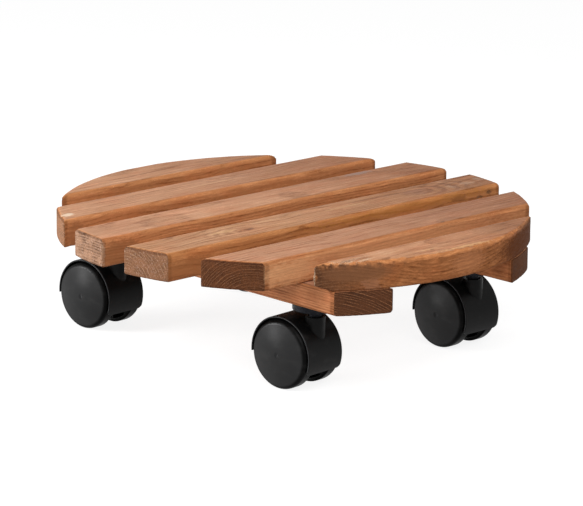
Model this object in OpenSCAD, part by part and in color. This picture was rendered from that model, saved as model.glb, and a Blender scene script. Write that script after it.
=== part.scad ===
// Round slatted plant caddy: six boards on two battens, standing on four swivelling twin-wheel casters.
// The boards run along X, the battens along Y, and Z is up from the floor.

/* [Round top] */
// Diameter of the round top over the ends of the boards
top_d = 300; // [240:1:400]
// Width of each board
slat_w = 33.5; // [20:0.1:60]
// Length by which the outer edges of the two end boards' blanks stand past the round outline, taken together
blank_over = 0.5; // [0:0.1:4]
// Thickness of each board
slat_t = 17.8; // [10:0.1:30]
// Radius of the rounding on the upper long edges of the boards
slat_top_r = 3; // [0.5:0.1:8]
// Radius of the rounding on the upper edge of the round outline
rim_top_r = 2; // [0.5:0.1:8]
// Radius of the rounding on every lower edge of the boards
slat_low_r = 1; // [0.2:0.1:4]
// Length over which the underside of the front board's left tip is worn away
tip_wear_l = 10; // [4:0.5:20]
// Depth of that wear at the very tip
tip_wear_h = 4; // [0.5:0.1:8]
// Number of straight steps round the round top
top_steps = 180; // [60:1:360]

/* [Battens] */
// Width of each batten
batten_w = 33; // [20:0.1:60]
// Thickness of each batten
batten_t = 15.3; // [8:0.1:30]
// Distance of each batten's middle line from the middle of the top
batten_x = 67.8; // [40:0.1:100]
// Radius of the rounding on the lower edges of the battens
batten_low_r = 2; // [0.2:0.1:4]
// Radius of the rounding on the upper edges of the battens
batten_top_r = 0.8; // [0.2:0.1:4]

/* [Board screws] */
// Diameter of the screw shank
screw_d = 4; // [2:0.1:6]
// Length of the screw over its head
screw_l = 25; // [16:0.5:30]
// Diameter of the countersunk head
screw_head_d = 7.6; // [4:0.1:12]
// Length of the pointed end of the screw
screw_tip_l = 4; // [1:0.1:8]
// Diameter of the blunt end of the screw's point
screw_tip_d = 0.8; // [0.4:0.1:2]
// Width of the slots of the cross recess in the head
recess_w = 0.9; // [0.4:0.1:2]
// Length of the slots of the cross recess
recess_l = 4.2; // [2:0.1:6]
// Depth of the cross recess
recess_h = 1.4; // [0.5:0.1:3]
// Distance of the screws in the two end boards from those boards' inner edges
end_screw_in = 7.8; // [5:0.1:12]
// Distance of the screws in the second and fifth board from those boards' inner edges
second_screw_in = 7.1; // [5:0.1:17]

/* [Caster places] */
// Distance of each swivel axis outwards from its batten's middle line
caster_out = 1; // [-8:0.1:8]
// Distance of each swivel axis from the near end of its batten
caster_in = 41.6; // [20:0.1:60]
// Resting turn of the front left caster in degrees
front_left_yaw = 4.9; // [-180:0.1:180]
// Resting turn of the front right caster in degrees
front_right_yaw = 0.5; // [-180:0.1:180]
// Resting turn of the back left caster in degrees
back_left_yaw = 4; // [-180:0.1:180]
// Resting turn of the back right caster in degrees
back_right_yaw = 3; // [-180:0.1:180]

/* [Stems] */
// Diameter of the threaded shank that goes up into the batten
shank_d = 8; // [6:0.1:12]
// Length of the threaded shank above the flange
shank_l = 12.5; // [8:0.1:14]
// Diameter of the round flange under the batten
flange_d = 28; // [16:0.1:34]
// Thickness of the round flange
flange_t = 4.1; // [1.5:0.1:6]
// Radius of the rounding on the flange's lower rim
flange_r = 0.8; // [0.2:0.1:1.5]
// Radius of the rounding on the flange's upper rim
flange_top_r = 0.2; // [0.1:0.1:1]
// Length of the pin below the flange
pin_l = 23.7; // [18:0.1:26]
// Diameter of the smooth pin that the caster turns on
pin_d = 7.6; // [6:0.1:10]
// Diameter of the groove for the retaining ring
groove_d = 6.2; // [4:0.1:8]
// Height of the groove for the retaining ring
groove_h = 1.3; // [0.8:0.1:3]
// Height of the groove's lower face above the pin's lower end
groove_up = 5; // [2:0.1:10]
// Outer diameter of the retaining ring
ring_d = 9.2; // [7:0.1:11]
// Thickness of the retaining ring
ring_t = 1.1; // [0.6:0.1:2]
// Width of the slit in the retaining ring
ring_slit = 2.4; // [1:0.1:5]
// Outer diameter of the threaded insert in the batten
insert_d = 12; // [10:0.1:16]
// Length of the threaded insert
insert_l = 13; // [8:0.1:15]

/* [Caster hoods] */
// Horizontal distance from the swivel axis back to the axle
trail = 14.8; // [8:0.1:25]
// Clearance between the wheels' treads and the inside of the hood
hood_gap = 1; // [0.5:0.1:3]
// Thickness of the hood's curved wall
hood_wall = 1.1; // [0.8:0.1:3]
// Distance by which the hood's edges stay behind the wheels' rims
hood_recess = 1.8; // [0.5:0.1:6]
// Clearance between the crown of the hood and the flange above it
crown_gap = 4.8; // [2:0.1:12]
// Angle below the axle's level at which the hood ends on the stem's side
hood_front_deg = 24; // [0:1:45]
// Angle below the axle's level at which the hood ends on the trailing side
hood_rear_deg = 4; // [0:1:20]
// Radius of the two lower corners of the hood on the stem's side
hood_corner_r = 3.5; // [1:0.1:8]
// Outer diameter of the upright boss around the stem
boss_d = 12.4; // [10:0.1:20]
// Height of the boss's rim above the crown of the hood
boss_rise = 0.4; // [0:0.1:4]
// Depth of the widened mouth of the boss
boss_mouth_h = 1.2; // [0.4:0.1:3]
// Diameter of the widened mouth of the boss
boss_mouth_d = 10.4; // [8:0.1:12]
// Thickness of the boss's floor under the pin
boss_floor = 2.7; // [1.5:0.1:4]
// Thickness of the upright web between the wheels
web_t = 4; // [2:0.1:8]
// Diameter of the hub that holds the axle
hub_d = 11; // [7:0.1:16]
// Thickness of the two cross ribs
rib_t = 1.4; // [0.8:0.1:3]
// Distance of the rear cross rib behind the axle
rear_rib_y = 11; // [5:0.1:18]
// Clearance between the hub's faces and the wheels
side_gap = 0.3; // [0.2:0.1:1]

/* [Wheels] */
// Diameter of each wheel
wheel_d = 43; // [25:0.1:75]
// Width of each wheel at its tread
wheel_w = 8.7; // [5:0.1:20]
// Width over the two wheels' rims
pair_w = 34; // [20:0.1:60]
// Height of the shallow dome on each wheel's face
dome_h = 1.2; // [0.3:0.1:4]
// Radius of the rounding at the outer edge of the tread
tread_r = 3.2; // [0.5:0.1:4]
// Radius of the rounding at the inner edge of the tread
tread_in_r = 0.5; // [0.2:0.1:2]
// Thickness of the wheel's face
face_t = 1.7; // [1:0.1:3]
// Thickness of the wheel's rim
rim_t = 2.3; // [1:0.1:4]
// Outer diameter of the wheel's hub
wheel_hub_d = 9.6; // [7:0.1:14]
// Thickness of the spokes inside the wheel
spoke_t = 1.3; // [0.8:0.1:3]
// Number of spokes inside the wheel
spoke_count = 6; // [3:1:10]
// Distance of the spokes' edges behind the wheel's open side
spoke_in = 1.6; // [0.5:0.1:4]
// Diameter of the axle
axle_d = 4; // [3:0.1:6]
// Depth of the axle's end in the wheel
axle_in = 7.2; // [4:0.1:9]

/* [Fits] */
// Radial clearance of turning pieces on their pins
run_c = 0.08; // [0.01:0.01:0.1]
// Radial clearance of fixed pieces in their holes
fix_c = 0.03; // [0:0.01:0.1]
// Play at the ends of pins and in grooves
end_c = 0.3; // [0.2:0.05:0.6]

/* [Hidden] */
$fn = 64;
fine = 128;
coarse = 24;
over = 1;
slat_count = 6;
top_r = top_d / 2;
pitch = (top_d + blank_over - slat_w) / (slat_count - 1);
wheel_r = wheel_d / 2;
axle_z = wheel_r;
hood_r = wheel_r + hood_gap + hood_wall;
hood_w = pair_w - 2 * hood_recess;
crown_z = axle_z + hood_r;
boss_z = crown_z + boss_rise;
flange_z = crown_z + crown_gap;
batten_z = flange_z + flange_t;
deck_z = batten_z + batten_t;
pin_r = pin_d / 2;
pin_end_z = flange_z - pin_l;
groove_z = pin_end_z + groove_up;
bore_r = pin_r + run_c;
bore_z = pin_end_z - end_c;
post_z = bore_z - boss_floor;
wheel_in_x = pair_w / 2 - wheel_w;
hub_half = wheel_in_x - side_gap;
axle_r = axle_d / 2;
axle_half = wheel_in_x + axle_in - end_c;
groove_r = groove_d / 2;
ring_r = ring_d / 2;
screw_r = screw_d / 2;
head_r = screw_head_d / 2;
head_h = head_r - screw_r;
end_slat_y = (slat_count - 1) * pitch / 2;
second_slat_y = end_slat_y - pitch;
middle_slat_y = second_slat_y - pitch;
end_screw_y = end_slat_y - slat_w / 2 + end_screw_in;
second_screw_y = second_slat_y - slat_w / 2 + second_screw_in;
caster_x = batten_x + caster_out;
caster_y = sqrt(pow(top_r, 2) - pow(batten_x, 2)) - caster_in;
dome_r = (pow(wheel_r - tread_r, 2) + pow(dome_h, 2)) / (2 * dome_h);
dome_steps = 720;
tip_x = sqrt(pow(top_r, 2) - pow(end_slat_y - slat_w / 2, 2));
wood = [0.62, 0.4, 0.25];
wood_dark = [0.52, 0.32, 0.19];
steel = [0.75, 0.76, 0.78];
plastic = [0.06, 0.06, 0.065];

// Cross-section of a board, standing on the line y = 0 and centred on x = 0
module rounded_section(w, t, low_r, up_r) {
  half = w / 2;
  translate([-half, low_r]) square([w, t - low_r - up_r]);
  translate([-half + up_r, t / 2]) square([w - 2 * up_r, t / 2]);
  translate([-half + low_r, 0]) square([w - 2 * low_r, t / 2]);
  for (side = [-1, 1]) {
    translate([side * (half - up_r), t - up_r]) circle(up_r);
    translate([side * (half - low_r), low_r]) circle(low_r);
  }
}

// The round outline of the top, with rounded edges all the way round
module round_plate() {
  translate([0, 0, deck_z])
    rotate_extrude($fn = top_steps)
      intersection() {
        rounded_section(top_d, slat_t, slat_low_r, rim_top_r);
        square([top_d, top_d]);
      }
}

// Holes in a board for the two screws that hold it down
module slat_screw_holes(y) {
  for (side = [-1, 1])
    translate([side * batten_x, y, batten_z])
      cylinder(h = screw_l + end_c, r = screw_r + fix_c);
}

// One board, cut to the round outline
module slat(y, screw_y) {
  difference() {
    intersection() {
      translate([0, y, deck_z])
        rotate([90, 0, 90])
          linear_extrude(height = top_d, center = true)
            rounded_section(slat_w, slat_t, slat_low_r, slat_top_r);
      round_plate();
    }
    slat_screw_holes(screw_y);
  }
}

module slat_1() {
  color(wood) slat(end_slat_y, end_screw_y);
}

module slat_2() {
  color(wood) slat(second_slat_y, second_screw_y);
}

module slat_3() {
  color(wood) slat(middle_slat_y, middle_slat_y);
}

module slat_4() {
  color(wood) slat(-middle_slat_y, -middle_slat_y);
}

module slat_5() {
  color(wood) slat(-second_slat_y, -second_screw_y);
}

// The front board's left tip is worn away underneath
module slat_6() {
  color(wood)
    difference() {
      slat(-end_slat_y, -end_screw_y);
      translate([0, 0, deck_z])
        rotate([90, 0, 0])
          linear_extrude(height = top_d, center = true)
            polygon([
              [tip_wear_l - tip_x, 0],
              [-tip_x, tip_wear_h],
              [-top_r, tip_wear_h],
              [-top_r, -over],
              [tip_wear_l - tip_x, -over]
            ]);
    }
}

// Hole for one countersunk screw in a batten
module batten_screw_hole(y) {
  translate([0, y, batten_z]) {
    translate([0, 0, -over])
      cylinder(h = batten_t + 2 * over, r = screw_r + fix_c);
    translate([0, 0, -over])
      cylinder(h = over, r = head_r + fix_c);
    cylinder(h = head_h, r1 = head_r + fix_c, r2 = screw_r + fix_c);
  }
}

// One batten, cut to the round outline, with holes for its screws and threaded inserts
module batten(side) {
  translate([side * batten_x, 0, 0])
    difference() {
      intersection() {
        translate([0, 0, batten_z])
          rotate([90, 0, 0])
            linear_extrude(height = top_d, center = true)
              rounded_section(batten_w, batten_t, batten_low_r, batten_top_r);
        translate([-side * batten_x, 0, batten_z])
          cylinder(h = batten_t, r = top_r, $fn = top_steps);
      }
      for (end = [-1, 1]) {
        batten_screw_hole(end * end_screw_y);
        batten_screw_hole(end * second_screw_y);
        batten_screw_hole(end * middle_slat_y);
        translate([side * caster_out, end * caster_y, batten_z - over])
          cylinder(h = insert_l + over, r = insert_d / 2 + fix_c);
      }
    }
}

module left_batten() {
  color(wood_dark) batten(-1);
}

module right_batten() {
  color(wood_dark) batten(1);
}

// One countersunk wood screw, head down, driven up through a batten
module wood_screw() {
  difference() {
    union() {
      cylinder(h = head_h, r1 = head_r, r2 = screw_r);
      cylinder(h = screw_l - screw_tip_l, r = screw_r);
      translate([0, 0, screw_l - screw_tip_l])
        cylinder(h = screw_tip_l, r1 = screw_r, r2 = screw_tip_d / 2);
    }
    translate([-recess_l / 2, -recess_w / 2, -over])
      cube([recess_l, recess_w, recess_h + over]);
    translate([-recess_w / 2, -recess_l / 2, -over])
      cube([recess_w, recess_l, recess_h + over]);
  }
}

// The twelve screws that hold the boards on the battens
module slat_screws() {
  color(steel)
    for (side = [-1, 1])
      for (y = [-end_screw_y, -second_screw_y, -middle_slat_y, middle_slat_y, second_screw_y, end_screw_y])
        translate([side * batten_x, y, batten_z])
          wood_screw();
}

// The four threaded inserts let into the battens' undersides
module thread_inserts() {
  color(steel)
    for (side = [-1, 1])
      for (end = [-1, 1])
        translate([side * caster_x, end * caster_y, batten_z])
          difference() {
            cylinder(h = insert_l, r = insert_d / 2);
            translate([0, 0, -over])
              cylinder(h = insert_l + 2 * over, r = shank_d / 2 + fix_c);
          }
}

// Stem in its own place: threaded shank up, round flange, grooved pin down
module stem() {
  translate([0, 0, batten_z])
    cylinder(h = shank_l, r = shank_d / 2);
  translate([0, 0, flange_z])
    rotate_extrude()
      intersection() {
        rounded_section(flange_d, flange_t, flange_r, flange_top_r);
        square([flange_d, flange_d]);
      }
  difference() {
    translate([0, 0, pin_end_z])
      cylinder(h = flange_z - pin_end_z, r = pin_r);
    translate([0, 0, groove_z])
      difference() {
        cylinder(h = groove_h, r = pin_r + over);
        translate([0, 0, -over])
          cylinder(h = groove_h + 2 * over, r = groove_r);
      }
  }
}

// Split retaining ring that sits in the pin's groove
module stem_ring() {
  translate([0, 0, groove_z + (groove_h - ring_t) / 2])
    difference() {
      cylinder(h = ring_t, r = ring_r);
      translate([0, 0, -over])
        cylinder(h = ring_t + 2 * over, r = groove_r + fix_c);
      translate([-ring_slit / 2, 0, -over])
        cube([ring_slit, ring_d, ring_t + 2 * over]);
    }
}

// Profile of the hood's curved wall: distance from the axle, and place along it
module hood_profile() {
  edge_r = hood_wall / 2;
  translate([hood_r - hood_wall, -hood_w / 2 + edge_r])
    square([hood_wall, hood_w - 2 * edge_r]);
  for (side = [-1, 1])
    translate([hood_r - edge_r, side * (hood_w / 2 - edge_r)])
      circle(edge_r, $fn = coarse);
}

// Side view of the web between the wheels, with the axle at the origin and the trailing side at +x
module web_outline() {
  low_z = -hood_r * sin(hood_front_deg);
  reach = hood_r - hood_wall / 2;
  intersection() {
    circle(reach);
    polygon([
      [-hood_r, low_z],
      [-hub_d / 2, -hub_d / 2],
      [hub_d / 2, -hub_d / 2],
      [hood_r, -hood_r * sin(hood_rear_deg)],
      [hood_r, hood_r],
      [-hood_r, hood_r]
    ]);
  }
}

// Cuts that round the two lower corners of the hood's wall on the stem's side
module hood_corner_cuts() {
  low_z = axle_z - hood_r * sin(hood_front_deg) - fix_c;
  for (side = [-1, 1])
    translate([side * (hood_w / 2 - hood_corner_r), 0, low_z + hood_corner_r])
      rotate([90, 0, 0])
        linear_extrude(height = hood_r)
          difference() {
            translate([side * (hood_corner_r + over) / 2, -(hood_corner_r + over) / 2])
              square(hood_corner_r + over, center = true);
            circle(hood_corner_r);
          }
}

// Hood in its own place: curved wall, web, ribs, axle hub and the upright boss around the stem
module hood() {
  reach = hood_r - hood_wall / 2;
  front_rib_h = sqrt(pow(reach, 2) - pow(trail, 2));
  rear_rib_h = sqrt(pow(reach, 2) - pow(rear_rib_y, 2));
  difference() {
    union() {
      translate([0, trail, axle_z])
        rotate([90, 0, 90]) {
          rotate([0, 0, -hood_rear_deg])
            rotate_extrude(angle = 180 + hood_front_deg + hood_rear_deg, $fn = fine)
              hood_profile();
          linear_extrude(height = web_t, center = true)
            web_outline();
          cylinder(h = 2 * hub_half, r = hub_d / 2, center = true);
        }
      translate([-hub_half, trail + rear_rib_y - rib_t / 2, axle_z])
        cube([2 * hub_half, rib_t, rear_rib_h]);
      translate([-hub_half, -rib_t / 2, post_z])
        cube([2 * hub_half, rib_t, axle_z + front_rib_h - post_z]);
      translate([0, 0, post_z])
        cylinder(h = boss_z - post_z, r = boss_d / 2);
    }
    translate([0, 0, bore_z])
      cylinder(h = boss_z - bore_z + over, r = bore_r);
    translate([0, 0, boss_z - boss_mouth_h])
      cylinder(h = boss_mouth_h, r1 = bore_r, r2 = boss_mouth_d / 2);
    translate([0, 0, groove_z - end_c])
      cylinder(h = groove_h + 2 * end_c, r = ring_r + end_c);
    translate([0, trail, axle_z])
      rotate([0, 90, 0])
        cylinder(h = pair_w, r = axle_r + fix_c, center = true);
    hood_corner_cuts();
  }
}

// Axle in its own place
module axle() {
  translate([0, trail, axle_z])
    rotate([0, 90, 0])
      cylinder(h = 2 * axle_half, r = axle_r, center = true);
}

// Outline of a wheel cut through its axis: radius, and height above its open side
module wheel_outline() {
  translate([0, wheel_w / 4])
    square([wheel_r - tread_r, wheel_w * 3 / 4]);
  translate([0, tread_in_r])
    square([wheel_r, wheel_w - tread_r - tread_in_r]);
  square([wheel_r - tread_in_r, wheel_w / 2]);
  translate([wheel_r - tread_r, wheel_w - tread_r])
    circle(tread_r, $fn = coarse);
  translate([wheel_r - tread_in_r, tread_in_r])
    circle(tread_in_r, $fn = coarse);
  intersection() {
    translate([0, wheel_w + dome_h - dome_r])
      circle(dome_r, $fn = dome_steps);
    translate([0, wheel_w / 2])
      square([wheel_r - tread_r, wheel_w]);
  }
}

// One wheel lying on its open side: domed face, rim, hub with a blind bore, and spokes
module wheel() {
  rim_in_r = wheel_r - rim_t;
  hub_r = wheel_hub_d / 2;
  floor_z = wheel_w - face_t;
  rotate_extrude($fn = fine)
    difference() {
      intersection() {
        wheel_outline();
        square([wheel_d, wheel_d]);
      }
      translate([hub_r, -over])
        square([rim_in_r - hub_r, floor_z + over]);
      translate([0, -over])
        square([axle_r + run_c, axle_in + over]);
    }
  for (i = [0 : spoke_count - 1])
    rotate([0, 0, i * 360 / spoke_count])
      translate([hub_r - over / 2, -spoke_t / 2, spoke_in])
        cube([rim_in_r - hub_r + over, spoke_t, floor_z - spoke_in + over / 2]);
}

// A wheel on its end of the axle: side is -1 on the left and 1 on the right
module placed_wheel(side) {
  translate([side * wheel_in_x, trail, axle_z])
    rotate([0, side * 90, 0])
      wheel();
}

// Puts a caster's piece at its corner, turned about its swivel axis
module at_corner(side, end, yaw) {
  translate([side * caster_x, end * caster_y, 0])
    rotate([0, 0, yaw])
      children();
}

module at_front_left() {
  at_corner(-1, -1, front_left_yaw) children();
}

module at_front_right() {
  at_corner(1, -1, front_right_yaw) children();
}

module at_back_left() {
  at_corner(-1, 1, back_left_yaw) children();
}

module at_back_right() {
  at_corner(1, 1, back_right_yaw) children();
}

module front_left_stem() {
  color(steel) at_front_left() stem();
}

module front_left_ring() {
  color(steel) at_front_left() stem_ring();
}

module front_left_hood() {
  color(plastic) at_front_left() hood();
}

module front_left_axle() {
  color(steel) at_front_left() axle();
}

module front_left_wheel_left() {
  color(plastic) at_front_left() placed_wheel(-1);
}

module front_left_wheel_right() {
  color(plastic) at_front_left() placed_wheel(1);
}

module front_right_stem() {
  color(steel) at_front_right() stem();
}

module front_right_ring() {
  color(steel) at_front_right() stem_ring();
}

module front_right_hood() {
  color(plastic) at_front_right() hood();
}

module front_right_axle() {
  color(steel) at_front_right() axle();
}

module front_right_wheel_left() {
  color(plastic) at_front_right() placed_wheel(-1);
}

module front_right_wheel_right() {
  color(plastic) at_front_right() placed_wheel(1);
}

module back_left_stem() {
  color(steel) at_back_left() stem();
}

module back_left_ring() {
  color(steel) at_back_left() stem_ring();
}

module back_left_hood() {
  color(plastic) at_back_left() hood();
}

module back_left_axle() {
  color(steel) at_back_left() axle();
}

module back_left_wheel_left() {
  color(plastic) at_back_left() placed_wheel(-1);
}

module back_left_wheel_right() {
  color(plastic) at_back_left() placed_wheel(1);
}

module back_right_stem() {
  color(steel) at_back_right() stem();
}

module back_right_ring() {
  color(steel) at_back_right() stem_ring();
}

module back_right_hood() {
  color(plastic) at_back_right() hood();
}

module back_right_axle() {
  color(steel) at_back_right() axle();
}

module back_right_wheel_left() {
  color(plastic) at_back_right() placed_wheel(-1);
}

module back_right_wheel_right() {
  color(plastic) at_back_right() placed_wheel(1);
}

slat_1();
slat_2();
slat_3();
slat_4();
slat_5();
slat_6();
left_batten();
right_batten();
slat_screws();
thread_inserts();
front_left_stem();
front_left_ring();
front_left_hood();
front_left_axle();
front_left_wheel_left();
front_left_wheel_right();
front_right_stem();
front_right_ring();
front_right_hood();
front_right_axle();
front_right_wheel_left();
front_right_wheel_right();
back_left_stem();
back_left_ring();
back_left_hood();
back_left_axle();
back_left_wheel_left();
back_left_wheel_right();
back_right_stem();
back_right_ring();
back_right_hood();
back_right_axle();
back_right_wheel_left();
back_right_wheel_right();
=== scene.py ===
from math import cos, radians, sin, tau
from types import SimpleNamespace

import bpy
from mathutils import Matrix, Vector


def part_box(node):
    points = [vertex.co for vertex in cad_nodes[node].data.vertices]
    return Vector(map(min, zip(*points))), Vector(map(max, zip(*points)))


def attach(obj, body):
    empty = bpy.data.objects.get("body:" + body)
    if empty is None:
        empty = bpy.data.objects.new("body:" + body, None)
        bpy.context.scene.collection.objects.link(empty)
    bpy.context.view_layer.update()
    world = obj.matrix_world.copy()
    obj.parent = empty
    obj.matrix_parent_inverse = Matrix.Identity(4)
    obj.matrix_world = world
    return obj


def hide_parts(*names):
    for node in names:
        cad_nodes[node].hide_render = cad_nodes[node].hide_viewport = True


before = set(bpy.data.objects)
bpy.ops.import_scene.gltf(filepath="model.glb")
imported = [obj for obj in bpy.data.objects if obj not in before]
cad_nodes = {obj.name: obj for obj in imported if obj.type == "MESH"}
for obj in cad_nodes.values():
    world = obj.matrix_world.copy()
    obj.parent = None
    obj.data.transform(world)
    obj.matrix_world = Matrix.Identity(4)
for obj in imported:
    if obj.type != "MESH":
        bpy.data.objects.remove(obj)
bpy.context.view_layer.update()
bpy.ops.object.select_all(action="DESELECT")


# The six top boards: planed softwood laths with a rounded upper edge, screwed on from
# beneath, cut together to a circle and stained brown. The stain sinks deeper into the
# end grain, and rubbing has laid bare lighter wood on a few corners.


class Wire:
    """A node's output that takes part in arithmetic: each operation adds a node to its tree."""

    def __init__(self, socket):
        self.socket = socket
        self.tree = socket.id_data

    def __add__(self, other):
        return maths("ADD", self, other)

    def __sub__(self, other):
        return maths("SUBTRACT", self, other)

    def __rsub__(self, other):
        return maths("SUBTRACT", other, self)

    def __mul__(self, other):
        return maths("MULTIPLY", self, other)

    def __truediv__(self, other):
        return maths("DIVIDE", self, other)


def fill(socket, value):
    """Links a socket to a wire or sets its value. A colour is given without its alpha."""
    if isinstance(value, Wire):
        socket.id_data.links.new(value.socket, socket)
    elif socket.type == "RGBA":
        socket.default_value = (*value, 1.0)
    else:
        socket.default_value = value


def add_node(tree, kind, given, **settings):
    made = tree.nodes.new("ShaderNode" + kind)
    for name, value in settings.items():
        setattr(made, name, value)
    for label, value in given.items():
        fill(made.inputs[label], value)
    return made


def wired(kind, given, output=0, **settings):
    """One output of a new node, in the tree of the first wire given."""
    tree = next(value.tree for value in given.values() if isinstance(value, Wire))
    return Wire(add_node(tree, kind, given, **settings).outputs[output])


def maths(operation, *given):
    """One step of arithmetic, on vectors where the first wire given is a vector."""
    first = next(value for value in given if isinstance(value, Wire))
    kind = "VectorMath" if first.socket.type == "VECTOR" else "Math"
    return wired(kind, dict(enumerate(given)), operation=operation)


def length(place):
    return wired("VectorMath", {0: place}, "Value", operation="LENGTH")


def parts_of(place):
    return [Wire(part) for part in add_node(place.tree, "SeparateXYZ", {0: place}).outputs]


def joined(x, y, z):
    return wired("CombineXYZ", {0: x, 1: y, 2: z})


def rise(value, low, high, bottom=0.0, top=1.0):
    """Goes smoothly from bottom to top while the value goes from low to high."""
    given = {0: value, 1: low, 2: high, 3: bottom, 4: top}
    return wired("MapRange", given, interpolation_type="SMOOTHSTEP")


def fall(value, low, high):
    return rise(value, low, high, 1.0, 0.0)


def noise(place, detail, roughness=0.5):
    given = {"Vector": place, "Scale": 1.0, "Detail": detail, "Roughness": roughness}
    return wired("TexNoise", given, "Fac")


def blended(share, first, second, how="MIX"):
    return wired("Mix", {0: share, 6: first, 7: second}, 2, data_type="RGBA", blend_type=how)


def tinted(colour, tint):
    return blended(1.0, colour, tint, "MULTIPLY")


def new_group(name, wanted, results):
    """A shader group, its inputs as wires with names in lower case, and its output sockets."""
    group = bpy.data.node_groups.new(name, "ShaderNodeTree")
    for label, kind in wanted.items():
        group.interface.new_socket(label, in_out="INPUT", socket_type="NodeSocket" + kind)
    for label, kind in results.items():
        group.interface.new_socket(label, in_out="OUTPUT", socket_type="NodeSocket" + kind)
    inputs = group.nodes.new("NodeGroupInput").outputs
    given = {label.lower().replace(" ", "_"): Wire(inputs[label]) for label in wanted}
    return group, SimpleNamespace(**given), group.nodes.new("NodeGroupOutput").inputs


mm_per_m = 1000.0
deck_radius = 150.0
white = (1.0, 1.0, 1.0)
surface = {"Colour": "Color", "Roughness": "Float", "Height": "Float"}


def bend_grain(wood):
    """The grain runs along the board, drifts a little and gives way round a knot."""
    wood.x, y, wood.z = parts_of(wood.place)
    from_knot = wood.place - wood.knot
    oval = (0.42, 1.0, 0.35)
    wood.knot_reach = length(from_knot * oval)
    wood.near_knot = wood.knot_reach / wood.knot_size
    give_way = maths("EXPONENT", wood.near_knot * wood.near_knot * -0.5)
    away = parts_of(from_knot)[1] * give_way * 0.85
    sway_step, lift_step = 0.011, 0.014
    sway = noise(joined(wood.x * sway_step, wood.seed, 0.5), 1.5) - 0.5
    lift = noise(joined(wood.x * lift_step, wood.seed, 9.5), 1.5) - 0.5
    wood.grain_y = y + sway * wood.drift - away
    wood.grain_z = wood.z + lift * wood.drift


def draw_fibres(wood):
    """Streaks along the grain, from broad soft ones to hair-fine pores, by their steps per mm."""

    def along(step, across):
        stretched = joined(wood.x * step, wood.grain_y * across, wood.grain_z * across)
        return stretched + joined(wood.seed, 0.0, wood.seed)

    wood.broad = noise(along(0.016, 0.16), 2.0)
    wood.streak = noise(along(0.035, 0.55), 3.0, 0.55)
    wood.fleck = noise(along(0.15, 0.9), 3.0, 0.6)
    wood.fine = noise(along(0.40, 2.6), 3.0, 0.65)
    wood.blotch = noise(along(0.045, 0.09), 3.0)
    wood.speck = noise(along(1.1, 1.9), 2.0, 0.6)


def draw_rings(wood):
    """Yearly rings round the pith, each a soft early band and a thin hard late band."""
    reach = length(joined(0.0, wood.grain_y, wood.grain_z) - wood.pith)
    uneven = noise(joined(wood.x * 0.006, reach * 0.22, wood.seed), 2.0)
    wavy = noise(wood.place * (0.02, 0.3, 0.3), 2.0) - 0.5
    share = maths("FRACT", reach / wood.ring_width + uneven * 1.6 + wavy * 0.4)
    wood.late = rise(share, 0.35, 0.88) * fall(share, 0.90, 1.0)
    line_end, softness = 0.96, 0.12
    line_start = line_end - wood.line_share
    wood.line = rise(share, line_start, line_start + softness) * fall(share, 0.93, 1.0)


def planed_face(wood):
    """The long faces: dark fibres take more stain and light ones less."""
    tone = (wood.streak - 0.5) * 1.1 + (wood.fleck - 0.5) * 0.8
    tone = tone + (wood.broad - 0.5) * 0.7 + (wood.fine - 0.5) * 0.9
    tone = tone - (wood.late - 0.35) * wood.ring_show
    dark_fibre, light_fibre = (0.56, 0.49, 0.43), (1.42, 1.52, 1.66)
    colour = blended(rise(tone, -0.02, -0.55), wood.face, tinted(wood.face, dark_fibre))
    colour = blended(rise(tone, 0.02, 0.6), colour, tinted(wood.face, light_fibre))
    ruddy = blended(rise(wood.blotch, 0.42, 0.68, 0.0, 0.55), white, (1.03, 0.88, 0.82))
    colour = tinted(colour, ruddy)

    # Painted light: the top gets a paler, greyer painted sheen at the left and painted shade towards
    # the right, where the lamps fall off. The sides get painted shade, darker and browner than the top.
    rightward = rise(parts_of(wood.from_axis)[0], -70.0, 140.0)
    painted_sheen_tone, painted_shade_tone, side_shade_tone = (0.95, 1.09, 1.36), (0.68, 0.675, 0.735), (0.92, 0.84, 0.76)
    painted_light_tint = blended(rightward, painted_sheen_tone, painted_shade_tone)
    painted_light_tint = blended(rise(wood.upward, 0.88, 0.99), side_shade_tone, painted_light_tint)
    colour = tinted(colour, painted_light_tint)

    # The rounded long edge gets a painted highlight, a lighter and warmer tone, with small bare specks
    # of wear.
    edge_highlight_and_wear = tinted(colour, (1.12, 1.15, 1.12))
    bare = tinted(wood.face, (1.55, 1.75, 2.0))
    edge_highlight_and_wear = blended(rise(wood.speck, 0.58, 0.72, 0.0, 0.6), edge_highlight_and_wear, bare)
    return blended(wood.edge * rise(wood.streak, 0.3, 0.6, 0.45, 1.0), colour, edge_highlight_and_wear)


def sawn_rim(wood, colour):
    """The saw leaves the round rim rougher and darker, save for a light edge along its top."""
    rim = length(wood.from_axis * (1.0, 1.0, 0.0))
    cut_from, cut_full = deck_radius - 3.6, deck_radius - 1.8
    sawn = rise(rim, cut_from, cut_full) * fall(wood.upward, 0.6, 0.93)
    crest = 8.6
    light_from = crest - wood.light_edge
    light_edge = rise(wood.z + (wood.fleck - 0.5) * 3.0, light_from, light_from + 1.0)
    wood.sawn = sawn * (1.0 - light_edge)
    tone = rise(wood.fleck, 0.35, 0.65, 0.60, 0.74) + (wood.speck - 0.5) * 0.2
    return blended(wood.sawn, colour, tinted(colour, joined(tone, tone * 0.95, tone * 0.9)))


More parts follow.
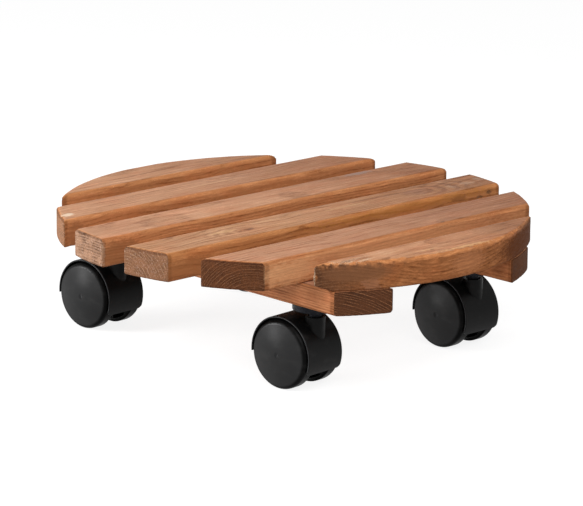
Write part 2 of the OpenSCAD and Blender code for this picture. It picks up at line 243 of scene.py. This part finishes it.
def end_grain(wood):
    """End grain drinks the stain, and most of all on the rounded edge above it."""
    broken = noise(wood.place * (0.05, 0.13, 0.2) + joined(0.0, wood.seed, 0.0), 3.0, 0.6)
    line = wood.line * rise(broken, 0.40, 0.60, 0.12, 1.0) * rise(wood.speck, 0.30, 0.52, 0.35, 1.0)
    colour = blended(line, wood.end_ground, wood.end_line)
    pits = rise(wood.speck, 0.32, 0.60, 0.68, 1.12) * rise(broken, 0.3, 0.7, 1.16, 0.80)
    colour = tinted(colour, joined(pits, pits, pits))
    dry = rise(noise(wood.place * (1.0, 1.15, 1.15), 2.0), 0.54, 0.68) * wood.end_speck
    dry_wood, soaked = (0.50, 0.34, 0.27), (0.52, 0.44, 0.38)
    colour = blended(dry, colour, dry_wood)
    return blended(wood.edge * 0.7, colour, tinted(colour, soaked))


def knotted(wood, colour):
    """A knot is darker than the wood round it, in fine rings of its own."""
    tone = rise(maths("SINE", wood.knot_reach * 5.0), -1.0, 1.0, 0.5, 0.8)
    knot = tinted(colour, joined(tone, tone * 0.82, tone * 0.7))
    return blended(fall(wood.near_knot, 0.22, 0.62) * 0.85, colour, knot)


def softwood_group():
    """Stained softwood, its places in mm from the piece's middle with x along the grain."""
    wanted = {"Place": "Vector", "Facing": "Vector", "Deck Axis": "Vector", "Pith": "Vector",
              "Ring Width": "Float", "Line Share": "Float", "Seed": "Float", "Drift": "Float",
              "Ring Show": "Float", "Face": "Color", "End Ground": "Color", "End Line": "Color",
              "End Speck": "Float", "Light Edge": "Float", "Knot": "Vector", "Knot Size": "Float"}
    group, wood, out = new_group("stained softwood", wanted, surface)
    seed_step = 37.0
    wood.seed = wood.seed * seed_step
    wood.from_axis = wood.place - wood.deck_axis
    lengthwise, _, wood.upward = parts_of(wood.facing)
    wood.edge = rise(wood.upward, 0.12, 0.45) * fall(wood.upward, 0.84, 0.97)
    bend_grain(wood)
    draw_fibres(wood)
    draw_rings(wood)
    end = rise(maths("ABSOLUTE", lengthwise) + (wood.fine - 0.5) * 0.25, 0.30, 0.66)
    colour = blended(end, sawn_rim(wood, planed_face(wood)), end_grain(wood))
    fill(out["Colour"], knotted(wood, colour))
    cut = maths("MAXIMUM", end, wood.sawn)
    fill(out["Roughness"], rise(wood.streak, 0.3, 0.7, 0.62, 0.52) + cut * 0.2)
    height = wood.streak * 0.45 + wood.fine * 0.35 + wood.fleck * 0.4 + wood.late * 0.25
    fill(out["Height"], height + cut * (wood.speck * 0.9 + wood.late * 0.5))
    return group


softwood = softwood_group()


def mapped(tree, output, given):
    coordinates = tree.nodes.new("ShaderNodeTexCoord").outputs[output]
    return wired("Mapping", {"Vector": Wire(coordinates), **given}, vector_type="POINT")


def material_from(group, node_name, finish_name, turn, values, relief):
    """A material by a group that sees each place in mm from a CAD node's middle, turned with it."""
    material = bpy.data.materials.new(node_name + " " + finish_name)
    material.use_nodes = True
    tree = material.node_tree
    low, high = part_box(node_name)
    axis = Matrix.Rotation(turn, 3, "Z") @ (low + high) / 2 * -mm_per_m
    given = {"Location": axis, "Rotation": (0.0, 0.0, turn), "Scale": (mm_per_m,) * 3}
    place = mapped(tree, "Object", given)
    finish = tree.nodes.new("ShaderNodeGroup")
    finish.node_tree = group
    for label, value in {"Place": place, **values}.items():
        fill(finish.inputs[label], value)
    shader = tree.nodes["Principled BSDF"]
    fill(shader.inputs["Base Color"], Wire(finish.outputs["Colour"]))
    fill(shader.inputs["Roughness"], Wire(finish.outputs["Roughness"]))
    fill(shader.inputs["Normal"], wired("Bump", {**relief, "Height": Wire(finish.outputs["Height"])}))
    return SimpleNamespace(material=material, shader=shader, finish=finish, place=place, axis=axis)


def spot_mask(place, centre, size, ragged=0.35, torn_step=1.1):
    """A patch round a point, as large as size along, across and up, with a ragged rim."""
    torn = noise(place * (torn_step / 3, torn_step, torn_step), 3.0, 0.6) - 0.5
    return fall(length((place - centre) / size) + torn * (ragged * 4), 0.6, 1.15)


def arched(place, colour, centre, size, about, step, share):
    """Grain bent in arcs about a point, in light and dark bands a step apart, inside a patch."""
    reach = length((place - about) * (0.55, 1.0, 0.6))
    uneven = noise(place * (0.06, 0.35, 0.35), 3.0)
    bands = maths("SINE", reach * (tau / step) + uneven * 8.0)
    dark_band, light_band = (0.55, 0.48, 0.45), (1.22, 1.34, 1.48)
    banded = blended(rise(bands, -0.9, 0.9), dark_band, light_band)
    return blended(spot_mask(place, centre, size) * share, colour, tinted(colour, banded))


def wood_material(node_name, turn, grain, spots=(), arches=()):
    """Stained wood with a grain of its own, its arched figures and its tinted spots."""
    relief = {"Strength": 0.55, "Distance": 0.00035}
    stain = material_from(softwood, node_name, "stain", turn, grain, relief)
    facing = mapped(stain.material.node_tree, "Normal", {"Rotation": (0.0, 0.0, turn)})
    fill(stain.finish.inputs["Facing"], facing)
    fill(stain.finish.inputs["Deck Axis"], stain.axis)
    colour = Wire(stain.finish.outputs["Colour"])
    for arch in arches:
        colour = arched(stain.place, colour, *arch)
    for centre, size, tint, strength, *tear in spots:
        colour = blended(spot_mask(stain.place, centre, size, *tear) * strength, colour, tint)
    fill(stain.shader.inputs["Base Color"], colour)
    stain.shader.inputs["Specular IOR Level"].default_value = 0.1
    return stain.material


def welded_copy(node_name):
    """A piece of its own from a CAD node's mesh, its faces joined and selected to work on."""
    piece = bpy.data.objects.new(node_name + "_wood", cad_nodes[node_name].data.copy())
    bpy.context.scene.collection.objects.link(piece)
    bpy.ops.object.select_all(action="DESELECT")
    piece.select_set(True)
    bpy.context.view_layer.objects.active = piece
    bpy.ops.object.mode_set(mode="EDIT")
    bpy.ops.mesh.select_all(action="SELECT")
    bpy.ops.mesh.remove_doubles(threshold=0.00001)
    bpy.ops.object.mode_set(mode="OBJECT")
    return piece


def rub_down(piece, weights, depth, stretch, seed, contrast=1.0):
    """Takes up to depth off the surface where weights says, in clouds as long and wide as stretch.

    The seed gives each piece a place of its own in the clouds.
    """
    group = piece.vertex_groups.new(name="wear_and_highlight")
    for index, weight in weights:
        group.add([index], weight, "REPLACE")
    cloud = bpy.data.textures.new("rubbing", "CLOUDS")
    cloud.noise_scale = 1.0
    cloud.contrast = contrast
    cloud_place = bpy.data.objects.new("rubbing place", None)
    bpy.context.scene.collection.objects.link(cloud_place)
    cloud_place.location = (seed * 0.31, seed * 0.17, seed * 0.07)
    cloud_place.scale = stretch
    bpy.context.view_layer.update()
    rub = piece.modifiers.new("rub", "DISPLACE")
    rub.texture = cloud
    rub.texture_coords = "OBJECT"
    rub.texture_coords_object = cloud_place
    rub.vertex_group = "wear_and_highlight"
    rub.mid_level = 1.0
    rub.strength = depth
    bpy.ops.object.modifier_apply(modifier="rub")
    bpy.data.objects.remove(cloud_place)
    bpy.data.textures.remove(cloud)
    piece.vertex_groups.remove(piece.vertex_groups["wear_and_highlight"])


def edge_weights(piece):
    """Each point's weight, from 0 on a level or upright face to 1 on a rounded edge between them."""
    full_from = 0.6
    found = []
    for corner in piece.data.vertices:
        level = (corner.normal.x ** 2 + corner.normal.y ** 2) ** 0.5
        found.append((corner.index, min(1.0, min(abs(corner.normal.z), level) / full_from)))
    return found


def dent_weights(piece, dents):
    """The weight of each point within reach of a dent, 1 in the dent's middle."""
    found = []
    for corner in piece.data.vertices:
        weight = 0.0
        for centre, reach in dents:
            apart = (corner.co * mm_per_m - Vector(centre)).length / reach
            weight = max(weight, 1.0 - apart)
        if weight > 0:
            found.append((corner.index, weight))
    return found


# How fine the copy's mesh is, and how deep its edges, faces and dents are rubbed, in metres.
fine_grid = 0.0008
edge_rub, face_rub, dent_depth = 0.0004, 0.00012, 0.0016


def wooden(node_name, seed, stretch, dents=()):
    """A fine copy of a CAD board, its edges rubbed down a little and its dents worn in."""
    piece = welded_copy(node_name)
    grid = piece.modifiers.new("grid", "REMESH")
    grid.mode = "VOXEL"
    grid.voxel_size = fine_grid
    bpy.ops.object.modifier_apply(modifier="grid")
    fit = piece.modifiers.new("fit", "SHRINKWRAP")
    fit.target = cad_nodes[node_name]
    fit.wrap_method = "NEAREST_SURFACEPOINT"
    bpy.ops.object.modifier_apply(modifier="fit")
    rub_down(piece, edge_weights(piece), edge_rub, stretch, seed)
    everywhere = [(corner.index, 1.0) for corner in piece.data.vertices]
    rub_down(piece, everywhere, face_rub, [side * 2.5 for side in stretch], seed + 3)
    if dents:
        small_clouds = [side * 0.5 for side in stretch]
        rub_down(piece, dent_weights(piece, dents), dent_depth, small_clouds, seed + 5, contrast=1.6)
    bpy.ops.object.shade_smooth()
    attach(piece, "deck")
    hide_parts(node_name)
    return piece


# A spot has its middle and its reach in mm (along, across and up from the board's middle),
# its tint and strength, and where needed how ragged it is and how fine it tears.
# An arch has the same patch, the point that its bands lie round, their step and strength.
# A dent has its middle in mm in the caddy's own frame, and its reach.
bare_wood, dark_mark = (0.78, 0.60, 0.42), (0.10, 0.05, 0.025)
shade, pale = (0.10, 0.06, 0.04), (0.44, 0.27, 0.17)
no_knot = {"Knot": (400.0, 0.0, 0.0), "Knot Size": 1.0}
# Rubbing has worn the front board's rim all along, so its dents lie in a row.
rim_crest, rim_wear = 86.6, 5.5
worn_rim = [((deck_radius * sin(radians(turn)), -deck_radius * cos(radians(turn)), rim_crest), rim_wear)
            for turn in range(-36, 14, 3)]
boards = {
    "slat_1": {
        "grain": {"Pith": (0.0, 12.0, -34.0), "Ring Width": 2.3, "Line Share": 0.3, "Seed": 1.3,
                  "Drift": 9.0, "Ring Show": 0.3, "Face": (0.476, 0.210, 0.090),
                  "End Ground": (0.20, 0.085, 0.035), "End Line": (0.36, 0.17, 0.08),
                  "End Speck": 0.2, **no_knot},
    },
    "slat_2": {
        "grain": {"Pith": (0.0, 22.0, -22.0), "Ring Width": 2.0, "Line Share": 0.3, "Seed": 2.1,
                  "Drift": 7.0, "Ring Show": 0.3, "Face": (0.462, 0.201, 0.086),
                  "End Ground": (0.23, 0.105, 0.05), "End Line": (0.36, 0.18, 0.09),
                  "End Speck": 0.45, **no_knot},
        "spots": (
            # a chipped corner at the left, dark under it
            ((-124.0, -6.6, 8.4), (4.6, 3.6, 2.0), (0.68, 0.52, 0.38), 0.85, 0.6),
            ((-128.0, -12.0, 4.0), (4.0, 4.0, 3.0), dark_mark, 0.5),
            # the dark left end of the front side
            ((-126.0, -16.7, -2.0), (9.0, 2.0, 9.0), (0.22, 0.085, 0.034), 0.6),
            # a light streak on the top
            ((5.0, 0.4, 9.0), (26.0, 1.1, 3.0), (0.60, 0.36, 0.20), 0.4)),
        "arches": (((20.0, 6.0, 9.0), (26.0, 8.0, 3.0), (44.0, 14.0, 9.0), 6.0, 0.28),),
        "dents": (((-126.0, 73.0, 86.2), 4.0), ((-129.5, 66.0, 70.0), 3.0)),
    },
    "slat_3": {
        "grain": {"Pith": (0.0, -6.0, -150.0), "Ring Width": 1.8, "Line Share": 0.42, "Seed": 3.7,
                  "Drift": 6.0, "Ring Show": 0.35, "Face": (0.474, 0.207, 0.089),
                  "End Ground": (0.29, 0.160, 0.096), "End Line": (0.115, 0.050, 0.024),
                  "End Speck": 0.5, **no_knot},
        "spots": (
            # the top, faintly darker at the left and grey at the right
            ((-120.0, 0.0, 9.0), (30.0, 16.0, 3.0), shade, 0.16, 0.3),
            ((94.0, 11.3, 9.0), (12.0, 3.0, 3.0), (0.27, 0.20, 0.18), 0.6, 0.7, 0.9),
            # the worn corner at the left, and the dark left end of the front side
            ((-148.6, -16.7, 0.0), (1.3, 0.8, 8.0), (0.50, 0.36, 0.25), 0.6, 1.2, 2.2),
            ((-136.0, -16.7, -2.0), (20.0, 2.0, 9.0), (0.20, 0.078, 0.030), 0.6)),
    },
    "slat_4": {
        "grain": {"Pith": (0.0, 15.0, -15.0), "Ring Width": 2.0, "Line Share": 0.2, "Seed": 4.9,
                  "Drift": 10.0, "Ring Show": 0.4, "Face": (0.430, 0.185, 0.072),
                  "End Ground": (0.185, 0.084, 0.042), "End Line": (0.34, 0.19, 0.105),
                  "End Speck": 0.3, "Knot": (-67.0, -2.5, 9.0), "Knot Size": 6.0},
        "spots": (
            # the top's darker left end, the dark heart of the knot and the light wood round it
            ((-112.0, 0.0, 9.0), (30.0, 16.0, 3.0), shade, 0.1, 0.3),
            ((-63.6, -2.2, 9.0), (3.0, 1.4, 4.0), (0.15, 0.065, 0.035), 0.7),
            ((-82.0, 2.7, 9.0), (11.0, 2.4, 3.0), (0.62, 0.36, 0.17), 0.5),
            ((-44.0, 6.6, 9.0), (16.0, 2.0, 3.0), (0.58, 0.34, 0.19), 0.5),
            ((21.0, 1.7, 9.0), (24.0, 1.4, 3.0), (0.60, 0.36, 0.18), 0.5),
            # the yellow stretch of the front edge, and the dark left end of the front side
            ((60.0, -16.0, 5.5), (90.0, 2.0, 3.0), (0.44, 0.18, 0.040), 0.5, 0.8, 0.9),
            ((-126.0, -16.7, -3.0), (24.0, 2.0, 8.0), (0.24, 0.092, 0.034), 0.6),
            # the arched figure at the right: dark where it starts, with pale patches
            ((84.0, 0.5, 9.0), (12.0, 6.0, 3.0), (0.24, 0.105, 0.055), 0.6),
            ((112.0, -3.0, 9.0), (2.4, 5.0, 3.0), pale, 0.5, 0.5, 0.9),
            ((127.0, -2.4, 9.0), (7.0, 3.4, 3.0), pale, 0.55, 0.7, 0.9),
            ((141.5, 1.8, 9.0), (3.0, 4.0, 3.0), (0.34, 0.25, 0.19), 0.45, 0.6, 0.9),
            # the torn front edge below it
            ((134.2, -16.8, 4.2), (2.6, 2.0, 1.4), dark_mark, 0.8, 0.6, 2.0),
            ((124.8, -16.8, 2.2), (3.4, 2.0, 1.0), dark_mark, 0.7, 0.6, 2.0),
            ((105.4, -16.8, 4.0), (8.0, 2.0, 2.0), (0.20, 0.075, 0.024), 0.5)),
        "arches": (((106.0, 0.0, 9.0), (32.0, 14.0, 5.0), (84.0, 0.0, 9.0), 5.6, 0.6),
                   ((-80.0, 0.5, 9.0), (22.0, 7.0, 3.0), (-66.0, -3.0, 9.0), 4.4, 0.5)),
        "dents": (((134.0, -43.5, 82.4), 3.0), ((125.0, -43.5, 80.4), 2.4)),
    },
    "slat_5": {
        "grain": {"Pith": (0.0, -11.0, -17.0), "Ring Width": 1.7, "Line Share": 0.16, "Seed": 5.3,
                  "Drift": 6.0, "Ring Show": 0.3, "Face": (0.424, 0.179, 0.077),
                  "End Ground": (0.096, 0.033, 0.012), "End Line": (0.20, 0.085, 0.036),
                  "End Speck": 0.04, **no_knot},
        "spots": (
            # a dark nick at the front edge, two stretches of painted light on the open front side, a
            # dark streak
            ((38.0, -13.9, 8.9), (2.4, 0.9, 2.0), dark_mark, 0.6),
            ((-92.0, -16.7, -1.0), (26.0, 1.2, 9.0), (0.95, 0.55, 0.29), 0.18, 0.6, 0.5),
            ((-20.0, -16.7, 2.0), (120.0, 1.2, 9.0), (0.95, 0.52, 0.26), 0.2, 0.2),
            ((60.0, 4.0, 9.0), (34.0, 2.0, 3.0), (0.26, 0.11, 0.06), 0.35)),
    },
    "slat_6": {
        "grain": {"Pith": (0.0, 8.0, -30.0), "Ring Width": 2.2, "Line Share": 0.3, "Seed": 6.2,
                  "Drift": 9.0, "Ring Show": 0.35, "Face": (0.465, 0.194, 0.077),
                  "End Ground": (0.115, 0.045, 0.019), "End Line": (0.19, 0.082, 0.036),
                  "End Speck": 0.06, "Light Edge": 3.1, **no_knot},
        "spots": (
            # bare wood where the rim is torn, with a dark line along it
            ((-86.0, 10.4, 9.0), (5.0, 1.4, 1.2), bare_wood, 0.4, 1.4, 2.6),
            ((-76.0, 6.2, 9.0), (5.0, 1.4, 1.2), bare_wood, 0.4, 1.4, 2.6),
            ((-66.0, 3.0, 9.0), (6.0, 1.3, 1.2), bare_wood, 0.4, 1.5, 2.6),
            ((-80.0, 8.0, 8.8), (12.0, 1.6, 1.6), dark_mark, 0.8, 1.5, 3.2),
            # light streaks on the top behind it
            ((-70.0, 8.6, 9.0), (12.0, 1.0, 3.0), (0.58, 0.37, 0.24), 0.5, 0.9, 2.0),
            ((-50.0, 8.9, 9.0), (14.0, 1.2, 3.0), (0.60, 0.36, 0.22), 0.5, 0.8, 1.6),
            ((-44.0, 5.0, 9.0), (10.0, 1.0, 3.0), (0.62, 0.38, 0.22), 0.5, 0.8, 1.6),
            ((-20.0, -4.6, 9.0), (9.0, 0.9, 2.0), (0.68, 0.40, 0.20), 0.5, 0.6),
            ((5.0, -12.5, 8.0), (24.0, 1.4, 2.0), (0.70, 0.40, 0.19), 0.6, 0.6),
            # the rim's left end: a pale corner, a reddish patch low down, and darker wood
            ((-94.0, 16.6, 0.0), (1.0, 0.8, 8.0), (0.58, 0.40, 0.27), 0.6, 0.8, 2.0),
            ((-64.5, -2.0, -6.0), (6.0, 6.0, 5.0), (0.34, 0.150, 0.08), 0.45, 0.9, 0.8),
            ((-66.0, 4.0, 2.0), (34.0, 14.0, 6.0), (0.18, 0.075, 0.033), 0.75, 0.15),
            # painted shade on the top's right end; the rim's light middle; and the rim's dark right
            # end, darker end grain with painted shade where it turns away from the lamps
            ((62.0, 6.0, 9.0), (34.0, 14.0, 3.0), (0.12, 0.05, 0.02), 0.2, 0.4),
            ((4.0, -16.5, 0.0), (16.0, 5.0, 8.0), (0.62, 0.27, 0.13), 0.22, 0.5),
            ((72.0, 0.0, -2.0), (52.0, 20.0, 10.5), (0.100, 0.027, 0.005), 0.95, 0.2),
            # a small dark mark on the top
            ((-17.0, -5.5, 9.0), (2.0, 0.8, 2.0), dark_mark, 0.6)),
        "dents": (((-92.5, -117.5, 78.0), 4.0), *worn_rim),
    },
}
wear_length, wear_width = 0.022, 0.0035
for node_name, board in boards.items():
    grain, spots, arches = board["grain"], board.get("spots", ()), board.get("arches", ())
    wear = (wear_length, wear_width, wear_width)
    piece = wooden(node_name, grain["Seed"], wear, board.get("dents", ()))
    stain = wood_material(node_name, 0.0, grain, spots, arches)
    piece.data.materials.clear()
    piece.data.materials.append(stain)


# The two battens under the boards are of the same stained wood, laid crosswise and cut
# to the same circle. The casters are let into their ends from below.
battens = {
    "left_batten": {"Pith": (0.0, 26.0, -58.0), "Ring Width": 1.8, "Line Share": 0.16, "Seed": 7.7,
                    "Drift": 5.0, "Ring Show": 0.5, "Face": (0.440, 0.190, 0.086),
                    "End Ground": (0.088, 0.032, 0.013), "End Line": (0.42, 0.18, 0.08),
                    "End Speck": 0.04, **no_knot},
    "right_batten": {"Pith": (0.0, -10.0, -26.0), "Ring Width": 2.0, "Line Share": 0.25, "Seed": 8.4,
                     "Drift": 7.0, "Ring Show": 0.4, "Face": (0.500, 0.212, 0.092),
                     "End Ground": (0.092, 0.030, 0.009), "End Line": (0.14, 0.050, 0.018),
                     "End Speck": 0.03, **no_knot},
}
for node_name, grain in battens.items():
    piece = wooden(node_name, grain["Seed"], (wear_width, wear_length, wear_width))
    piece.data.materials.clear()
    piece.data.materials.append(wood_material(node_name, radians(-90), grain))


# The metal: screws that hold the boards on the battens, threaded inserts for the stems and
# split rings that hold the hoods are zinc plated. The stems with their flanges are turned
# steel too, but blackened.


def steel_group():
    wanted = {"Place": "Vector", "Seed": "Float", "Bright": "Color", "Dull": "Color"}
    group, steel, out = new_group("turned steel", wanted, surface)
    turned = noise(steel.place * (0.1, 0.1, 7.0), 3.0, 0.6)
    cloudy = noise(steel.place + joined(steel.seed, 0.0, 0.0), 3.0, 0.6)
    fill(out["Colour"], blended(rise(cloudy, 0.35, 0.7), steel.bright, steel.dull))
    fill(out["Roughness"], rise(cloudy, 0.3, 0.7, 0.30, 0.48) + turned * 0.08)
    fill(out["Height"], turned + cloudy * 0.4)
    return group


turned_steel = steel_group()


def cover(node_name, made):
    for slot in cad_nodes[node_name].material_slots:
        slot.material = made.material


def make_steel(node_name, seed, plating):
    relief = {"Strength": 0.5, "Distance": 0.0001}
    steel = material_from(turned_steel, node_name, "steel", 0.0, {"Seed": seed, **plating}, relief)
    steel.shader.inputs["Metallic"].default_value = 1.0
    cover(node_name, steel)


zinc = {"Bright": (0.50, 0.51, 0.53), "Dull": (0.34, 0.345, 0.36)}
blackened = {"Bright": (0.015, 0.015, 0.017), "Dull": (0.008, 0.0085, 0.011)}
# How far each caster stands turned, in degrees, as in the solids.
caster_turns = {"front_left": 4.9, "front_right": 0.5, "back_left": 4.0, "back_right": 3.0}
steel_nodes = [("slat_screws", zinc), ("thread_inserts", zinc)]
for corner in caster_turns:
    steel_nodes += [(corner + "_stem", blackened), (corner + "_ring", zinc)]
for count, (node_name, plating) in enumerate(steel_nodes):
    make_steel(node_name, 5.0 * count, plating)


# Each caster's hood is one moulding in black plastic: an upright boss on the pin, a wall
# curved over the wheels, its lips paler with a painted highlight, and a web with ribs. The
# steel axle sits in the hood's hub.


def moulding_group():
    """Black plastic. Only a wheel has a disc, and only a hood has its lips within reach."""
    wanted = {"Place": "Vector", "Seed": "Float", "Black": "Color", "Satin": "Float",
              "Lip": "Float", "Disc": "Float", "Disc Black": "Color"}
    group, mould, out = new_group("black moulding", wanted, {**surface, "Sheen": "Float"})
    shifted = mould.place + joined(mould.seed, mould.seed, 0.0)
    orange_peel = noise(shifted * (0.8, 0.8, 0.8), 2.0)
    texture = noise(shifted * (7.0, 7.0, 7.0), 2.0, 0.6)
    flow = noise(shifted * (0.09, 0.09, 0.16), 3.0)
    reach = length(mould.place * (0.0, 1.0, 1.0))
    disc = fall(reach - mould.disc, -1.3, 0.6)
    mark = fall(reach, 1.5, 2.3) * disc
    # The hood's lips get a painted highlight: a paler tone for the light on their rounded edges.
    beyond = maths("ABSOLUTE", parts_of(mould.place)[0]) - mould.lip
    lip = rise(beyond, -0.35, 0.0) * rise(flow, 0.3, 0.6, 0.5, 1.0)
    dust = rise(flow + texture * 0.18, 0.60, 0.90, 0.0, 0.22)
    dusty, wear_and_highlight, matt = (0.040, 0.039, 0.038), (0.050, 0.050, 0.052), (0.015, 0.015, 0.0155)
    colour = blended(disc, mould.black, mould.disc_black)
    colour = blended(dust, colour, dusty)
    colour = blended(lip * 0.55, colour, wear_and_highlight)
    fill(out["Colour"], blended(mark, colour, matt))
    fill(out["Sheen"], disc * rise(flow, 0.3, 0.7, 0.19, 0.22) * (1.0 - mark))
    fill(out["Roughness"], mould.satin + (flow - 0.5) * 0.16 + (texture - 0.5) * 0.1)
    dome = reach * reach * -0.28 + 96.0
    height = texture * 0.35 + orange_peel * 0.65 + disc * dome
    fill(out["Height"], height - mark * 0.16)
    return group


moulding = moulding_group()


def make_plastic(node_name, turned_by, values, gloss):
    """Covers a CAD node in black plastic, seen along the caster's own axes."""
    relief = {"Strength": 0.5, "Distance": 0.00005}
    plastic = material_from(moulding, node_name, "plastic", radians(-turned_by), values, relief)
    plastic.shader.inputs["Specular IOR Level"].default_value = gloss
    cover(node_name, plastic)
    return plastic


no_disc = -1.0
for count, (corner, turned_by) in enumerate(caster_turns.items()):
    values = {"Seed": 3.0 * count, "Black": (0.003, 0.003, 0.003), "Satin": 0.40, "Lip": 15.2,
              "Disc": no_disc}
    make_plastic(corner + "_hood", turned_by, values, gloss=0.09)
    make_steel(corner + "_axle", 21.0 + count, zinc)


# The wheels are black mouldings too, free on the ends of the axle. The satin face is
# shallowly domed, reaches nearly to the dark rounded rim and has a small mark, left by
# the mould, in its middle.
no_lip = 400.0
for count, (corner, turned_by) in enumerate(caster_turns.items()):
    for side in ("_wheel_left", "_wheel_right"):
        values = {"Seed": 40.0 + 3.0 * count, "Black": (0.0025, 0.0025, 0.0025), "Satin": 0.32,
                  "Lip": no_lip, "Disc": 19.8, "Disc Black": (0.012, 0.012, 0.0123)}
        plastic = make_plastic(corner + side, turned_by, values, gloss=0.03)
        fill(plastic.shader.inputs["Coat Weight"], Wire(plastic.finish.outputs["Sheen"]))
        plastic.shader.inputs["Coat Roughness"].default_value = 0.31


# The studio: a pale sweep of floor that shows white and keeps a soft shadow, a bright
# room all round, a large key lamp at the upper left in front, and two small lamps at the
# left, one of them low and far back.


def seen_directly(tree):
    """1 for what the camera sees itself, in a gloss or through something clear."""
    path = tree.nodes.new("ShaderNodeLightPath").outputs
    gloss = maths("MAXIMUM", Wire(path["Is Glossy Ray"]), Wire(path["Is Transmission Ray"]))
    return maths("MAXIMUM", Wire(path["Is Camera Ray"]), gloss)


floor_width, just_below = 24.0, -0.0002
bpy.ops.mesh.primitive_plane_add(size=floor_width, location=(0.0, 0.0, just_below))
floor = bpy.context.object
floor.name = "floor"
paper = bpy.data.materials.new("pale floor")
paper.use_nodes = True
tree = paper.node_tree
tree.nodes.remove(tree.nodes["Principled BSDF"])
# The camera sees a dim paper with a white glow, so the shadow stays soft. Light sees it plain.
plain = Wire(add_node(tree, "BsdfDiffuse", {"Color": (0.50, 0.50, 0.50)}).outputs[0])
shaded = Wire(add_node(tree, "BsdfDiffuse", {"Color": (0.26, 0.26, 0.26)}).outputs[0])
glow = Wire(add_node(tree, "Emission", {"Color": white, "Strength": 0.86}).outputs[0])
lifted = wired("AddShader", {0: shaded, 1: glow})
shown = wired("MixShader", {0: seen_directly(tree), 1: plain, 2: lifted})
fill(tree.nodes["Material Output"].inputs["Surface"], shown)
floor.data.materials.append(paper)

room = bpy.data.worlds.new("bright room")
bpy.context.scene.world = room
room.use_nodes = True
light = room.node_tree.nodes["Background"]
room_light, room_shown = 0.35, 1.0
strength = seen_directly(room.node_tree) * (room_shown - room_light) + room_light
fill(light.inputs["Strength"], strength)
fill(light.inputs["Color"], white)


deck_middle = Vector((0.0, 0.0, 0.04))


def soft_lamp(name, place, size, power):
    bpy.ops.object.light_add(type="AREA", location=place)
    lamp = bpy.context.object
    lamp.name = name
    lamp.data.shape = "DISK"
    lamp.data.size = size
    lamp.data.energy = power
    lamp.rotation_mode = "QUATERNION"
    lamp.rotation_quaternion = (deck_middle - Vector(place)).to_track_quat("-Z", "Y")


soft_lamp("key lamp", (-0.46, -0.82, 0.92), size=0.9, power=11.2)
soft_lamp("side lamp", (-1.40, 1.10, 0.28), size=0.5, power=19.0)
soft_lamp("left lamp", (-0.75, 0.35, 0.55), size=0.4, power=5.2)


# The camera stands where the photograph was taken from. Its direction, distance and
# focal length were fitted to corners of the boards and casters in the photograph.
azimuth, elevation, roll = radians(-43.388), radians(14.121), radians(0.467)
distance = 2.06554
target = Vector((0.022825, 0.026007, 0.0469))
focal_length_px, photo_width_px = 3195.4, 583
back = Vector((sin(azimuth) * cos(elevation), -cos(azimuth) * cos(elevation), sin(elevation)))
level = Vector((cos(azimuth), sin(azimuth), 0.0))
upright = back.cross(level)
across = level * cos(roll) + upright * sin(roll)
upward = upright * cos(roll) - level * sin(roll)
lens = bpy.data.cameras.new("camera")
lens.sensor_width = 36.0
lens.lens = focal_length_px / photo_width_px * lens.sensor_width
lens.clip_end = 50.0
camera = bpy.data.objects.new("camera", lens)
bpy.context.scene.collection.objects.link(camera)
camera.matrix_world = Matrix((across, upward, back)).transposed().to_4x4()
camera.location = target + back * distance
bpy.context.scene.camera = camera
bpy.context.scene.view_settings.view_transform = "Standard"
